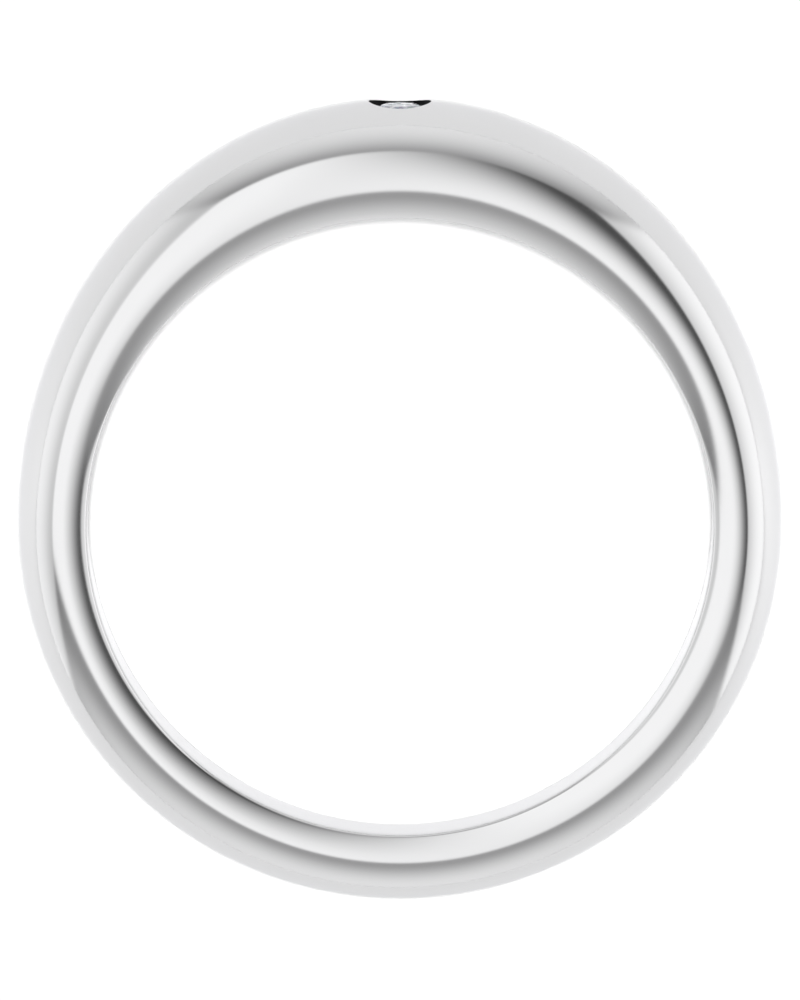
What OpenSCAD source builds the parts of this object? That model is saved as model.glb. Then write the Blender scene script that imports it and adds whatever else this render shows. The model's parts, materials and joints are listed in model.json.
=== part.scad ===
// A dome ring: a tapering band of polished white metal, thick and wide at the head, with one
// small round brilliant let in flush at the top of the dome. The ring lies on its side, as it
// rests on a table. The origin is the centre of the finger bore, the head is towards +Y, and
// the camera side faces +Z. Millimetres.

/* [Finger bore] */
// Diameter of the finger bore
bore_d = 17.3; // [14:0.1:22]
// Radius of the soft edge where each side face meets the bore
edge_r = 0.14; // [0.1:0.01:0.25]

/* [Band] */
// Height of the metal over the bore at the head
head_h = 3.1; // [2.7:0.05:4]
// Thickness of the band at the sides and the foot
shank_t = 1.92; // [1.6:0.02:2.5]
// Width of the head, along the finger
head_w = 4.4; // [3.6:0.05:6]
// Width of the foot, opposite the head
foot_w = 2.25; // [2:0.05:3.4]

/* [Section] */
// Share of the head's height that lies below its widest line
head_share = 0.385; // [0.3:0.005:0.45]
// Share of the foot's thickness that lies below its widest line
foot_share = 0.29; // [0.24:0.005:0.35]
// Radius of the head's roll, from the widest line to the bore, in depths of that roll
head_roll = 2.05; // [1.6:0.05:2.6]
// Radius of the foot's roll, in depths of that roll
foot_roll = 2.35; // [1.6:0.05:2.6]

/* [Stone] */
// Girdle diameter of the stone
stone_d = 1.62; // [1.2:0.02:1.7]
// Diameter of the pocket at its rim
pocket_d = 1.74; // [1.72:0.02:2]
// Depth of the stone's table below the crest of the dome
table_depth = 0.14; // [0.05:0.01:0.25]
// Running gap between the stone and its seat
seat_gap = 0.03; // [0.02:0.01:0.06]

/* [Hidden] */

bore_r = bore_d / 2;
head_crest = bore_r + head_h;
side_crest = bore_r + shank_t;

// Sections round the ring, and steps along each stretch of a half section
stations = 72;
dome_steps = 10;
roll_steps = 4;
edge_steps = 2;
station_step = 360 / stations;

// Crest radius at angle a from the head: half an ellipse above the sides, a circle below
function crest_r(a) =
    cos(a) > 0
        ? 1 / sqrt(pow(sin(a) / side_crest, 2) + pow(cos(a) / head_crest, 2))
        : side_crest;

// A value that changes evenly from the head to the foot
function from_head(at_head, at_foot, a) =
    (at_head + at_foot) / 2 + (at_head - at_foot) / 2 * cos(a);

// Radius of the widest line
function face_r(a) = bore_r + from_head(head_share, foot_share, a) * (crest_r(a) - bore_r);

// The side faces lean in evenly from head to foot, so that the ring lies flat on either side
lean = (head_w - foot_w) / 2 / (face_r(0) + face_r(180));
lean_angle = atan(lean);
function half_w(a) = foot_w / 2 + lean * (face_r(180) + face_r(a) * cos(a));

// The roll and the soft edge are two arcs that meet smoothly at roll_angle
function roll_r(a) = from_head(head_roll, foot_roll, a) * (face_r(a) - bore_r);
function roll_angle(a) = asin((face_r(a) - bore_r - edge_r) / (roll_r(a) - edge_r));
function land_z(a) = half_w(a) - roll_r(a) + (roll_r(a) - edge_r) * cos(roll_angle(a));

// The soft edge is drawn to edge_end, and its last flat runs through the bore's wall, which
// is cut true afterwards
edge_end = 60;
lip_angle = (edge_end + 90) / 2;
lip_cut = 0.03;

// Half a section, from the crest to the lip, as points of radius and height
function dome_points(a) = [
    for (i = [0 : dome_steps])
        let (t = 90 * (1 - i / dome_steps))
        [face_r(a) + (crest_r(a) - face_r(a)) * sin(t), half_w(a) * cos(t)]
];
function roll_points(a) = [
    for (i = [1 : roll_steps])
        let (t = roll_angle(a) * i / roll_steps)
        [face_r(a) - roll_r(a) * sin(t), half_w(a) - roll_r(a) * (1 - cos(t))]
];
function edge_points(a) = [
    for (i = [1 : edge_steps])
        let (t = roll_angle(a) + (edge_end - roll_angle(a)) * i / edge_steps)
        [bore_r + edge_r * (1 - sin(t)), land_z(a) + edge_r * cos(t)]
];
function lip_point(a) = [bore_r - lip_cut, land_z(a) - lip_cut * tan(lip_angle)];
function half_section(a) = concat(dome_points(a), roll_points(a), edge_points(a), [lip_point(a)]);

// A whole section runs from the lower lip over the crest to the upper lip
function section(a) =
    let (half = half_section(a), last = len(half) - 1)
    concat(
        [for (i = [last : -1 : 1]) [half[i][0], -half[i][1]]],
        half
    );
section_len = 2 * (dome_steps + roll_steps + edge_steps + 1) + 1;

band_points = [
    for (s = [0 : stations - 1])
        let (a = s * station_step)
        for (p = section(a)) [p[0] * sin(a), p[0] * cos(a), p[1]]
];
function corner(s, i) = (s % stations) * section_len + (i % section_len);
band_faces = [
    for (s = [0 : stations - 1], i = [0 : section_len - 1], half = [0, 1])
        half == 0
            ? [corner(s, i), corner(s + 1, i + 1), corner(s + 1, i)]
            : [corner(s, i), corner(s, i + 1), corner(s + 1, i + 1)]
];

// Proportions of a round brilliant, as shares of its girdle diameter
table_share = 0.57;
crown_share = 0.15;
girdle_share = 0.03;
pavilion_share = 0.43;
star_length = 0.5;
lower_half_length = 0.77;
mains = 8;
main_step = 360 / mains;

stone_r = stone_d / 2;
table_r = stone_r * table_share / cos(main_step / 2);
crown_top = stone_d * (girdle_share / 2 + crown_share);
girdle_top = stone_d * girdle_share / 2;
pavilion_h = stone_d * pavilion_share;
culet = -girdle_top - pavilion_h;

// Height of the girdle's middle on the stone's axis, which is the ring's Y
stone_y = head_crest - table_depth - crown_top;

// Star and lower half corners lie between the mains, in the planes of the kites beside them
star_r = stone_r * table_share + star_length * stone_r * (1 - table_share);
star_z = girdle_top
    + (crown_top - girdle_top) * (stone_r - star_r * cos(main_step / 2)) / (stone_r - table_r);
lower_r = stone_r * (1 - lower_half_length);
lower_z = -girdle_top - pavilion_h * (stone_r - lower_r * cos(main_step / 2)) / stone_r;

function ring_of(count, r, z, turn) = [
    for (k = [0 : count - 1])
        let (a = turn + k * 360 / count)
        [r * cos(a), r * sin(a), z]
];
stone_points = concat(
    ring_of(mains, table_r, crown_top, 0),
    ring_of(mains, star_r, star_z, main_step / 2),
    ring_of(2 * mains, stone_r, girdle_top, 0),
    ring_of(2 * mains, stone_r, -girdle_top, 0),
    ring_of(mains, lower_r, lower_z, main_step / 2),
    [[0, 0, culet]]
);
// Where each ring of corners starts in the list above
star_row = mains;
upper_row = 2 * mains;
lower_row = 4 * mains;
half_row = 6 * mains;
culet_point = 7 * mains;
function star_at(k) = star_row + (k + mains) % mains;
function upper_at(k) = upper_row + (k + 2 * mains) % (2 * mains);
function lower_at(k) = lower_row + (k + 2 * mains) % (2 * mains);
function half_at(k) = half_row + (k + mains) % mains;
stone_faces = concat(
    [[for (k = [mains - 1 : -1 : 0]) k]],
    [for (k = [0 : mains - 1]) [k, (k + 1) % mains, star_at(k)]],
    [for (k = [0 : mains - 1]) [k, star_at(k), upper_at(2 * k), star_at(k - 1)]],
    [for (k = [0 : mains - 1]) [star_at(k), upper_at(2 * k + 1), upper_at(2 * k)]],
    [for (k = [0 : mains - 1]) [star_at(k), upper_at(2 * k + 2), upper_at(2 * k + 1)]],
    [for (k = [0 : 2 * mains - 1]) [upper_at(k), upper_at(k + 1), lower_at(k + 1), lower_at(k)]],
    [for (k = [0 : mains - 1]) [half_at(k), lower_at(2 * k), lower_at(2 * k + 1)]],
    [for (k = [0 : mains - 1]) [half_at(k), lower_at(2 * k + 1), lower_at(2 * k + 2)]],
    [for (k = [0 : mains - 1]) [culet_point, half_at(k - 1), lower_at(2 * k), half_at(k)]]
);

// The pocket: a drilled end, a cone under the pavilion, and a wall that opens to the rim
pavilion_angle = atan(pavilion_h / stone_r);
seat_r = stone_r + seat_gap;
seat_drop = seat_gap / cos(pavilion_angle);
drill_r = 0.25;
drill_clear = 0.15;
pocket_past = 0.4;
rim_z = crown_top + table_depth;
pocket_slope = (pocket_d / 2 - seat_r) / (rim_z - girdle_top);
function seat_z(r) = -girdle_top - seat_drop - (stone_r - r) * tan(pavilion_angle);
pocket_outline = [
    [0, culet - drill_clear],
    [drill_r, culet - drill_clear],
    [drill_r, seat_z(drill_r)],
    [seat_r, seat_z(seat_r)],
    [seat_r, girdle_top],
    [pocket_d / 2 + pocket_slope * pocket_past, rim_z + pocket_past],
    [0, rim_z + pocket_past]
];
round_steps = 96;

module at_rest() {
    rotate([lean_angle, 0, 0])
        children();
}

module at_stone() {
    translate([0, stone_y, 0])
        rotate([-90, 0, 0])
            children();
}

module bore_cut() {
    cylinder(r = bore_r, h = 2 * head_w, center = true, $fn = 2 * round_steps);
}

module pocket_cut() {
    at_stone()
        rotate_extrude($fn = round_steps)
            polygon(pocket_outline);
}

module band() {
    color("gainsboro")
        at_rest()
            difference() {
                polyhedron(points = band_points, faces = band_faces, convexity = 6);
                bore_cut();
                pocket_cut();
            }
}

module stone() {
    color("lightcyan")
        at_rest()
            at_stone()
                polyhedron(points = stone_points, faces = stone_faces, convexity = 2);
}

band();
stone();
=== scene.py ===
import json
import math

import bmesh
import bpy
from mathutils import Color, Matrix, Vector


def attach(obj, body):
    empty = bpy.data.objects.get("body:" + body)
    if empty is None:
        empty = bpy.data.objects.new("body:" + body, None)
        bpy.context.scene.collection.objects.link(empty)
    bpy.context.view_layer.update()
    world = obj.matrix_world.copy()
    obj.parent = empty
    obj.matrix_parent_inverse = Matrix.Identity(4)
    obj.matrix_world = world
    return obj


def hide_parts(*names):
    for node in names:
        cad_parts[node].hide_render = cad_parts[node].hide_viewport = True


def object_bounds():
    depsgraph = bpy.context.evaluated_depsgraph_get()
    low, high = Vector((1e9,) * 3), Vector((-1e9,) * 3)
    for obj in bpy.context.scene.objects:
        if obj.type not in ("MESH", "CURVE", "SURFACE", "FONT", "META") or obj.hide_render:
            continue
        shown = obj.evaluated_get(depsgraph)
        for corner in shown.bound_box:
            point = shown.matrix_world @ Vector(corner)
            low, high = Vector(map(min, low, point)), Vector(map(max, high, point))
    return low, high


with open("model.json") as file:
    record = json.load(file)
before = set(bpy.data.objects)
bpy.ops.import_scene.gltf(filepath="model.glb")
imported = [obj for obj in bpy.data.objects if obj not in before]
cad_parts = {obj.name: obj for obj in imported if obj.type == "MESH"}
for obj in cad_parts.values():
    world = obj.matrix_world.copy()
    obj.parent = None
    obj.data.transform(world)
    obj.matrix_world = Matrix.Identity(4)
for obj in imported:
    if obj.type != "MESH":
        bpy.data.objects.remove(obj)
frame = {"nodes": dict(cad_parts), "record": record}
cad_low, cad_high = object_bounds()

# The camera. It looks almost straight down the finger bore through a long lens, tipped
# towards the stone, so that a sliver of the bore's wall shows at the foot. The ring lies on
# its side, and its bore leans a little because the head is wider than the foot.
mm = 0.001
bore = frame["record"]["mounts"][0]
bore_axis = Vector(bore["axis"]).normalized()
lean_angle = math.atan2(-bore_axis.y, bore_axis.z)
camera_tip = math.radians(7.95)
picture_height = 27.7 * mm
bore_below_middle = 0.567 * mm

lens = bpy.data.cameras.new("long_lens")
lens.lens = 1000
lens.sensor_width = 36
distance = lens.lens / lens.sensor_width * picture_height
lens.clip_start = distance / 10
lens.clip_end = distance * 4
camera = bpy.data.objects.new("camera", lens)
bpy.context.scene.collection.objects.link(camera)
bpy.context.scene.camera = camera
camera_turn = Matrix.Rotation(lean_angle - camera_tip, 3, "X")
camera.location = camera_turn @ Vector((0, bore_below_middle, distance))
camera.rotation_euler = camera_turn.to_euler()

# The band. Cast in white gold, filed to its dome and mirror polished. It is drawn as upper
# half sections round the bore, each a quarter oval, a roll and a soft edge, which are bridged
# into a shell and mirrored in the ring's middle plane.
bore_r = bore["dims"]["r_mm"] * mm
head_h = 3.1 * mm
shank_t = 1.92 * mm
head_w = 4.4 * mm
foot_w = 2.25 * mm
edge_r = 0.14 * mm

# The widest line lies this share of the way up from the bore, at the head and at the foot
head_share = 0.385
foot_share = 0.29
# Radius of the roll between the widest line and the soft edge, in depths of that roll
head_roll = 2.05
foot_roll = 2.35

head_crest = bore_r + head_h
side_crest = bore_r + shank_t
quarter_turn = math.pi / 2
stations = 240
dome_steps = 20
roll_steps = 8
edge_steps = 5
wall_steps = 3
merge_distance = mm / 1000


def from_head(at_head, at_foot, turn):
    return (at_head + at_foot) / 2 + (at_head - at_foot) / 2 * math.cos(turn)


def crest_r(turn):
    if math.cos(turn) <= 0:
        return side_crest
    return 1 / math.hypot(math.sin(turn) / side_crest, math.cos(turn) / head_crest)


def face_r(turn):
    return bore_r + from_head(head_share, foot_share, turn) * (crest_r(turn) - bore_r)


def half_w(turn):
    lean = (head_w - foot_w) / 2 / (face_r(0) + face_r(math.pi))
    return foot_w / 2 + lean * (face_r(math.pi) + face_r(turn) * math.cos(turn))


def select_only(piece):
    bpy.ops.object.select_all(action="DESELECT")
    piece.select_set(True)
    bpy.context.view_layer.objects.active = piece


def select_points(piece, wanted):
    bpy.ops.mesh.select_all(action="DESELECT")
    shape = bmesh.from_edit_mesh(piece.data)
    for point in shape.verts:
        point.select_set(wanted(point.co))
    shape.select_flush_mode()
    bmesh.update_edit_mesh(piece.data)


def draw_half_section(turn):
    middle = face_r(turn)
    dome_h = crest_r(turn) - middle
    roll_h = middle - bore_r
    roll_r = from_head(head_roll, foot_roll, turn) * roll_h
    roll_angle = math.asin((roll_h - edge_r) / (roll_r - edge_r))
    wall_z = half_w(turn) - roll_r + (roll_r - edge_r) * math.cos(roll_angle)
    slack = dome_h / 1000

    bpy.ops.mesh.primitive_circle_add(
        vertices=4 * dome_steps, radius=mm, location=(middle, 0, 0), rotation=(quarter_turn, 0, 0)
    )
    section = bpy.context.object
    bpy.ops.object.transform_apply()
    bpy.ops.object.mode_set(mode="EDIT")
    bpy.ops.transform.resize(
        value=(dome_h / mm, 1, half_w(turn) / mm), center_override=(middle, 0, 0)
    )
    select_points(section, lambda point: point.x < middle - slack or point.z < -slack)
    bpy.ops.mesh.delete(type="VERT")
    select_points(section, lambda point: point.x < middle + slack)
    bpy.ops.mesh.spin(
        steps=roll_steps,
        angle=roll_angle,
        center=(middle, 0, half_w(turn) - roll_r),
        axis=(0, 1, 0),
    )
    bpy.ops.mesh.spin(
        steps=edge_steps,
        angle=quarter_turn - roll_angle,
        center=(bore_r + edge_r, 0, wall_z),
        axis=(0, 1, 0),
    )
    for _ in range(wall_steps):
        bpy.ops.mesh.extrude_region_move(
            TRANSFORM_OT_translate={"value": (0, 0, -wall_z / wall_steps)}
        )
    bpy.ops.object.mode_set(mode="OBJECT")
    section.rotation_euler.z = quarter_turn - turn
    bpy.ops.object.transform_apply()
    return section


bpy.ops.object.select_all(action="DESELECT")
sections = [draw_half_section(math.tau * station / stations) for station in range(stations)]
for section in sections:
    section.select_set(True)
bpy.ops.object.join()
band = bpy.context.object
band.name = "polished_band"
bpy.ops.object.mode_set(mode="EDIT")
bpy.ops.mesh.select_all(action="SELECT")
bpy.ops.mesh.bridge_edge_loops(type="CLOSED")
bpy.ops.object.mode_set(mode="OBJECT")
mirror = band.modifiers.new("lower_half", "MIRROR")
mirror.use_axis = (False, False, True)
mirror.merge_threshold = merge_distance
bpy.ops.object.modifier_apply(modifier=mirror.name)
bpy.ops.object.mode_set(mode="EDIT")
bpy.ops.mesh.select_all(action="SELECT")
bpy.ops.mesh.remove_doubles(threshold=merge_distance)
bpy.ops.mesh.normals_make_consistent(inside=False)
bpy.ops.object.mode_set(mode="OBJECT")

# The pocket for the stone, drilled into the finished dome: a hole that opens slightly to its
# rim, a cone that the stone sits on, and a blind end. Its wall stays rough, and is painted dark
# as shade. The cutter starts above the dome, and each of its rings is drawn down from the one
# before.
stone_d = 1.62 * mm
pocket_d = 1.74 * mm
table_depth = 0.14 * mm
seat_gap = 0.03 * mm
crown_top = 0.165 * stone_d
girdle_top = 0.015 * stone_d
pavilion_h = 0.43 * stone_d
drill_r = 0.25 * mm
drill_end = 0.15 * mm
above_dome = 0.4 * mm
round_steps = 96
smooth_under = math.radians(30)

stone_y = head_crest - table_depth - crown_top
seat_r = stone_d / 2 + seat_gap
pavilion_slope = pavilion_h / (stone_d / 2)
seat_drop = girdle_top + seat_gap * math.hypot(1, pavilion_slope)
wall_slope = (pocket_d / 2 - seat_r) / (crown_top + table_depth - girdle_top)
cutter_top = crown_top + table_depth + above_dome

# Radius of each ring, and its height over the middle of the stone's girdle
cutter_rings = [
    (seat_r + wall_slope * (cutter_top - girdle_top), cutter_top),
    (seat_r, girdle_top),
    (seat_r, -seat_drop),
    (drill_r, -seat_drop - (seat_r - drill_r) * pavilion_slope),
    (drill_r, -girdle_top - pavilion_h - drill_end),
]

bpy.ops.object.select_all(action="DESELECT")
bpy.ops.mesh.primitive_circle_add(
    vertices=round_steps,
    radius=cutter_rings[0][0],
    fill_type="NGON",
    location=(0, stone_y + cutter_top, 0),
    rotation=(-quarter_turn, 0, 0),
)
cutter = bpy.context.object
bpy.ops.object.transform_apply()
bpy.ops.object.mode_set(mode="EDIT")
for (r_above, y_above), (r_below, y_below) in zip(cutter_rings, cutter_rings[1:]):
    bpy.ops.mesh.extrude_region_move(
        TRANSFORM_OT_translate={"value": (0, y_below - y_above, 0)}
    )
    narrower = r_below / r_above
    bpy.ops.transform.resize(
        value=(narrower, 1, narrower), center_override=(0, stone_y + y_below, 0)
    )
bpy.ops.mesh.select_all(action="SELECT")
bpy.ops.mesh.normals_make_consistent(inside=False)
bpy.ops.object.mode_set(mode="OBJECT")

select_only(band)
bpy.ops.object.duplicate()
uncut_band = bpy.context.object
bpy.ops.object.shade_smooth()

select_only(band)
drill = band.modifiers.new("pocket", "BOOLEAN")
drill.operation = "DIFFERENCE"
drill.solver = "EXACT"
drill.object = cutter
bpy.ops.object.modifier_apply(modifier=drill.name)
bpy.ops.object.shade_smooth_by_angle(angle=smooth_under)

# The dome round the pocket keeps the normals of the uncut dome, so its shine runs on to the rim
dome_by_pocket = band.vertex_groups.new(name="dome_by_pocket")
rim_y = stone_y + crown_top - table_depth
near_pocket = [
    point.index
    for point in band.data.vertices
    if point.co.y > rim_y and math.hypot(point.co.x, point.co.z) > pocket_d / 2 - seat_gap
]
dome_by_pocket.add(near_pocket, 1, "REPLACE")
polish = band.modifiers.new("dome_shine", "DATA_TRANSFER")
polish.object = uncut_band
polish.use_loop_data = True
polish.data_types_loops = {"CUSTOM_NORMAL"}
polish.loop_mapping = "POLYINTERP_NEAREST"
polish.vertex_group = dome_by_pocket.name
bpy.ops.object.modifier_apply(modifier=polish.name)
bpy.data.objects.remove(cutter)
bpy.data.objects.remove(uncut_band)

select_only(band)
band.rotation_euler.x = lean_angle
bpy.ops.object.transform_apply()

# Finish of the band: white gold under a rhodium flash, nearly neutral, with the faint waves and
# hairlines that the last buffing leaves. The drilled wall is left as the burr cut it, and its
# colour is painted near black as shade in the pocket. Patterns are given in cells a metre.
waves_per_metre = 450
hairlines_per_metre = 9000
burr_marks_per_metre = 6000


def new_finish(name):
    finish = bpy.data.materials.new(name)
    finish.use_nodes = True
    nodes = finish.node_tree.nodes
    return finish, nodes, finish.node_tree.links, nodes["Principled BSDF"]


def mottle(nodes, links, cells_per_metre, detail=2):
    """An uneven pattern that is fixed to the piece"""
    place = nodes.new("ShaderNodeTexCoord")
    noise = nodes.new("ShaderNodeTexNoise")
    noise.inputs["Scale"].default_value = cells_per_metre
    noise.inputs["Detail"].default_value = detail
    links.new(place.outputs["Object"], noise.inputs["Vector"])
    return noise.outputs["Fac"]


def two_tones(nodes, links, pattern, dark, light):
    tone = nodes.new("ShaderNodeValToRGB")
    tone.color_ramp.elements[0].color = dark
    tone.color_ramp.elements[1].color = light
    links.new(pattern, tone.inputs["Fac"])
    return tone.outputs["Color"]


def polished_white_gold():
    gold, nodes, links, shader = new_finish("polished_white_gold")
    shader.inputs["Metallic"].default_value = 1
    shader.inputs["Specular Tint"].default_value = (0.85, 0.85, 0.86, 1)
    waves = mottle(nodes, links, waves_per_metre)
    tone = two_tones(nodes, links, waves, dark=(0.68, 0.68, 0.685, 1), light=(0.7, 0.7, 0.705, 1))
    links.new(tone, shader.inputs["Base Color"])

    hairlines = mottle(nodes, links, hairlines_per_metre, detail=3)
    gloss = nodes.new("ShaderNodeMapRange")
    gloss.inputs["To Min"].default_value = 0.09
    gloss.inputs["To Max"].default_value = 0.13
    links.new(hairlines, gloss.inputs["Value"])
    links.new(gloss.outputs["Result"], shader.inputs["Roughness"])
    return gold


def pocket_wall_painted_shade():
    wall, nodes, links, shader = new_finish("pocket_wall_painted_shade")
    shader.inputs["Roughness"].default_value = 0.7
    shader.inputs["Specular IOR Level"].default_value = 0.1
    burr_marks = mottle(nodes, links, burr_marks_per_metre)
    # Near-black tones are painted shade for the pocket wall, varied at random by the burr marks
    tone = two_tones(
        nodes, links, burr_marks, dark=(0.002, 0.002, 0.002, 1), light=(0.012, 0.012, 0.013, 1)
    )
    links.new(tone, shader.inputs["Base Color"])
    return wall


band.data.materials.clear()
band.data.materials.append(polished_white_gold())
band.data.materials.append(pocket_wall_painted_shade())
stone_axis = Matrix.Rotation(lean_angle, 3, "X") @ Vector((0, 1, 0))
# Faces on the pocket's wall above the girdle take the finish with painted shade
for face in band.data.polygons:
    along = face.center.dot(stone_axis)
    from_axis = face.center - stone_axis * along
    in_pocket = along > stone_y - girdle_top and from_axis.length < pocket_d / 2
    facing_in = face.normal.dot(from_axis) < 0
    face.material_index = int(in_pocket and facing_in)
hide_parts("band")
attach(band, "root")

# The stone is one small round brilliant, a clear stone with cut and polished facets. It is let
# in flush and sits on the pocket's cone. It is the imported model's own solid, and a pattern that
# is fixed to it tilts its polish in small patches and paints them with coloured and dark flashes:
# painted fire and painted dark reflections.
stone = frame["nodes"]["stone"]
flashes_per_metre = 6500
facet_tilt = 0.3
blue_flash = (0.46, 0.62, 0.8, 1)
violet_flash = (0.7, 0.56, 0.82, 1)
dark_flash = (0.02, 0.02, 0.03, 1)
green_flash = (0.6, 0.8, 0.64, 1)
clear_flash = (0.8, 0.8, 0.8, 1)
violet_from = 0.2
dark_from = 0.36
green_from = 0.5
clear_from = 0.65


def cut_brilliant():
    crystal, nodes, links, shader = new_finish("cut_brilliant")
    shader.inputs["Transmission Weight"].default_value = 1
    shader.inputs["IOR"].default_value = 2.417
    shader.inputs["Roughness"].default_value = 0
    shader.inputs["Specular Tint"].default_value = (0.72, 0.74, 0.78, 1)
    # A faint light of its own stands for the many reflections inside a real stone
    shader.inputs["Emission Color"].default_value = (0.92, 0.96, 1, 1)
    shader.inputs["Emission Strength"].default_value = 0.05

    # Each patch is painted with one flash: blue up to the first share, and so on to the clear
    # ones
    place = nodes.new("ShaderNodeTexCoord")
    flashes = nodes.new("ShaderNodeTexVoronoi")
    flashes.inputs["Scale"].default_value = flashes_per_metre
    links.new(place.outputs["Object"], flashes.inputs["Vector"])
    pick = nodes.new("ShaderNodeSeparateColor")
    links.new(flashes.outputs["Color"], pick.inputs["Color"])
    tint = nodes.new("ShaderNodeValToRGB")
    tint.color_ramp.interpolation = "CONSTANT"
    stops = tint.color_ramp.elements
    stops[0].color = blue_flash
    stops[1].color = clear_flash
    stops[1].position = clear_from
    stops.new(violet_from).color = violet_flash
    stops.new(dark_from).color = dark_flash
    stops.new(green_from).color = green_flash
    links.new(pick.outputs["Red"], tint.inputs["Fac"])
    links.new(tint.outputs["Color"], shader.inputs["Base Color"])

    # Each patch is also tilted a little, a way of its own
    facet = nodes.new("ShaderNodeNewGeometry")
    tilt = nodes.new("ShaderNodeVectorMath")
    tilt.operation = "MULTIPLY_ADD"
    tilt.inputs[1].default_value = [facet_tilt] * 3
    tilt.inputs[2].default_value = [-facet_tilt / 2] * 3
    links.new(flashes.outputs["Color"], tilt.inputs[0])
    tilted = nodes.new("ShaderNodeVectorMath")
    tilted.operation = "ADD"
    links.new(facet.outputs["Normal"], tilted.inputs[0])
    links.new(tilt.outputs["Vector"], tilted.inputs[1])
    outward = nodes.new("ShaderNodeVectorMath")
    outward.operation = "NORMALIZE"
    links.new(tilted.outputs["Vector"], outward.inputs[0])
    links.new(outward.outputs["Vector"], shader.inputs["Normal"])
    return crystal


stone.data.materials.clear()
stone.data.materials.append(cut_brilliant())

# The studio is a long box of white cloth with soft light behind it, open towards the table, its
# axis near the camera's. The end wall over the ring falls into shade towards the right, and the
# walls over the head and the foot are dimmer than the two at the sides.
studio_swing = math.radians(1.2)
studio_nod = math.radians(-2.7)
studio_roll = math.radians(-1.6)
studio_turn = camera_turn @ (
    Matrix.Rotation(studio_swing, 3, "Y")
    @ Matrix.Rotation(studio_nod, 3, "X")
    @ Matrix.Rotation(studio_roll, 3, "Z")
)

# Distances of the walls from the ring, where the two at the sides are 1 away. Those two stand
# a little closer together over the head, and the foot wall bows outwards at its middle.
head_height = 0.81
foot_height = 0.88
bow_width = 0.28
studio_length = 1.25
side_flare = 0.07
shade_slant = 0.28
corner_softness = 0.06
middle_softness = 0.1

# Share of the light that the polished metal gives back
metal_shine = 0.69

studio = bpy.data.worlds.new("soft_studio")
bpy.context.scene.world = studio
studio.cycles_visibility.diffuse = False
studio.use_nodes = True
studio_nodes = studio.node_tree.nodes
studio_links = studio.node_tree.links
direction = studio_nodes.new("ShaderNodeTexCoord").outputs["Generated"]


def light_level(grey):
    """Light that polished metal shows as this grey, from 0 to 255"""
    shown = Color([grey / 255] * 3).from_srgb_to_scene_linear()
    return shown.g / metal_shine


def along_axis(axis):
    node = studio_nodes.new("ShaderNodeVectorMath")
    node.operation = "DOT_PRODUCT"
    node.inputs[1].default_value = axis
    studio_links.new(direction, node.inputs[0])
    return node.outputs["Value"]


def maths(operation, *values):
    node = studio_nodes.new("ShaderNodeMath")
    node.operation = operation
    for socket, value in zip(node.inputs, values):
        if isinstance(value, (int, float)):
            socket.default_value = value
        else:
            studio_links.new(value, socket)
    return node.outputs[0]


def soft_step(value, start, start_level, stop, stop_level):
    """A level that turns smoothly into another between two places"""
    node = studio_nodes.new("ShaderNodeMapRange")
    node.interpolation_type = "SMOOTHSTEP"
    node.inputs["From Min"].default_value = start
    node.inputs["From Max"].default_value = stop
    node.inputs["To Min"].default_value = start_level
    node.inputs["To Max"].default_value = stop_level
    studio_links.new(value, node.inputs["Value"])
    return node.outputs["Result"]


def past(seam, softness):
    """0 short of a seam between two walls, 1 past it"""
    return soft_step(seam, -softness, 0, softness, 1)


def fade(place, bright_at, bright, shade_at, shade):
    """A wall's light, from a bright grey at one place to a shaded one at another"""
    return soft_step(place, bright_at, light_level(bright), shade_at, light_level(shade))


def blend(low, high, share):
    """low where share is 0, high where it is 1"""
    return maths("ADD", low, maths("MULTIPLY", maths("SUBTRACT", high, low), share))


def droop(level, place, strength):
    """A wall's light, weaker away from its middle line"""
    loss = maths("MULTIPLY", maths("MULTIPLY", place, place), strength)
    return maths("MULTIPLY", level, maths("SUBTRACT", 1, loss))


# Where each direction from the ring meets the box: across it, towards the head, and along it
side = along_axis(studio_turn.col[0])
rise = along_axis(studio_turn.col[1])
front = along_axis(studio_turn.col[2])
off_middle = maths("ABSOLUTE", side)
bowed_height = soft_step(off_middle, 0, foot_height, bow_width, head_height)
to_side = maths("ADD", off_middle, maths("MULTIPLY", rise, side_flare))
to_head = maths("DIVIDE", rise, head_height)
to_foot = maths("DIVIDE", maths("MULTIPLY", rise, -1), bowed_height)
to_top = maths("MAXIMUM", to_head, to_foot)
to_wall = maths("MAXIMUM", to_side, to_top)
to_end = maths("DIVIDE", front, studio_length)
nearest = maths("MAXIMUM", to_wall, to_end)
wall_x = maths("DIVIDE", side, nearest)
wall_y = maths("DIVIDE", rise, nearest)
wall_z = maths("DIVIDE", front, nearest)

# The walls, each with the greys that the metal shows for its bright and its shaded end
slanted_x = maths("ADD", wall_x, maths("MULTIPLY", wall_y, shade_slant))
end_wall = fade(slanted_x, bright_at=-0.38, bright=243, shade_at=0.82, shade=72)
right_wall = fade(wall_z, bright_at=0, bright=251, shade_at=1.3, shade=207)
left_wall = fade(wall_z, bright_at=0, bright=240, shade_at=1, shade=205)
head_wall = fade(wall_z, bright_at=0.05, bright=223, shade_at=1.3, shade=150)
foot_wall = fade(wall_z, bright_at=0, bright=222, shade_at=1.05, shade=150)
low_level = light_level(240)

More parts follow.
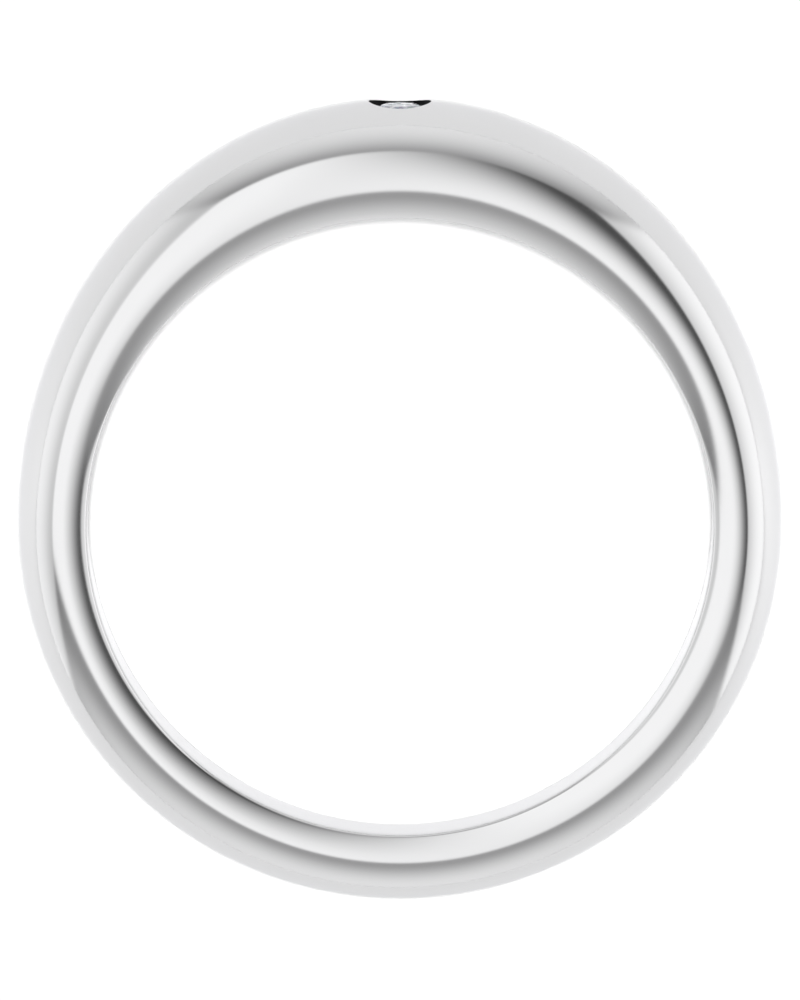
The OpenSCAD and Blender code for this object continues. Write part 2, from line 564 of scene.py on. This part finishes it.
# The walls run into each other softly, and below the ring the ones at the sides are even
left_wall = droop(left_wall, wall_y, strength=0.25)
right_wall = droop(right_wall, wall_y, strength=0.12)
side_walls = blend(left_wall, right_wall, past(side, middle_softness))
above_ring = soft_step(wall_z, -0.1, 0, 0.12, 1)
side_walls = blend(low_level, side_walls, above_ring)
long_walls = blend(foot_wall, head_wall, past(rise, middle_softness))
long_walls = droop(long_walls, wall_x, strength=0.4)
past_corner = past(maths("SUBTRACT", to_side, to_top), corner_softness)
walls = blend(long_walls, side_walls, past_corner)
past_end = past(maths("SUBTRACT", to_end, to_wall), corner_softness)
walls = blend(walls, end_wall, past_end)
studio_links.new(walls, studio_nodes["Background"].inputs["Color"])

# The table under the ring is a plain board with a matt coat of white paint, which is very
# slightly uneven. It lies level, at the ring's lowest point.
table_size = 4
paint_cells_per_metre = 300
bpy.ops.object.select_all(action="DESELECT")
bpy.ops.mesh.primitive_plane_add(size=table_size, location=(0, 0, cad_low.z))
table_top = bpy.context.object
table_top.name = "table_top"
bpy.ops.object.transform_apply()


def white_board():
    board, nodes, links, shader = new_finish("white_board")
    shader.inputs["Roughness"].default_value = 0.9
    shader.inputs["Specular IOR Level"].default_value = 0
    paint = mottle(nodes, links, paint_cells_per_metre)
    tone = two_tones(nodes, links, paint, dark=(0.89, 0.89, 0.89, 1), light=(0.91, 0.91, 0.91, 1))
    links.new(tone, shader.inputs["Base Color"])
    return board


table_top.data.materials.append(white_board())

# A round softbox hangs over the ring, on the camera's line, and lights the board evenly. The
# metal and the stone mirror the studio's walls and not the lamps, so it is hidden from them,
# as the strip lamps are.
softbox_width = 0.22
softbox_distance = 2
softbox_watts = 45


def hang_lamp(lamp, place):
    lamp_object = bpy.data.objects.new(lamp.name, lamp)
    lamp_object.location = place
    bpy.context.scene.collection.objects.link(lamp_object)
    lamp_object.visible_glossy = False
    lamp_object.visible_transmission = False
    lamp_object.visible_camera = False
    return lamp_object


softbox = bpy.data.lights.new("softbox", "AREA")
softbox.shape = "DISK"
softbox.size = softbox_width
softbox.energy = softbox_watts
hung_softbox = hang_lamp(softbox, camera_turn @ Vector((0, 0, softbox_distance)))
hung_softbox.rotation_euler = camera_turn.to_euler()

# Two dim strip lamps hang low over the table, left and right of the ring. They brighten the
# part of the board that the ring's outer sides reflect.
strip_length = 80 * mm
strip_width = 8 * mm
strip_height = 8 * mm
strip_from_middle = 50 * mm
right_watts = 0.0014
left_watts = 0.0008
for strip_x, strip_watts in ((strip_from_middle, right_watts), (-strip_from_middle, left_watts)):
    strip = bpy.data.lights.new("strip_lamp", "AREA")
    strip.shape = "RECTANGLE"
    strip.size = strip_length
    strip.size_y = strip_width
    strip.energy = strip_watts
    hang_lamp(strip, (strip_x, 0, cad_low.z + strip_height))

# The greys are shown as they are, with no film curve.
bpy.context.scene.view_settings.view_transform = "Standard"
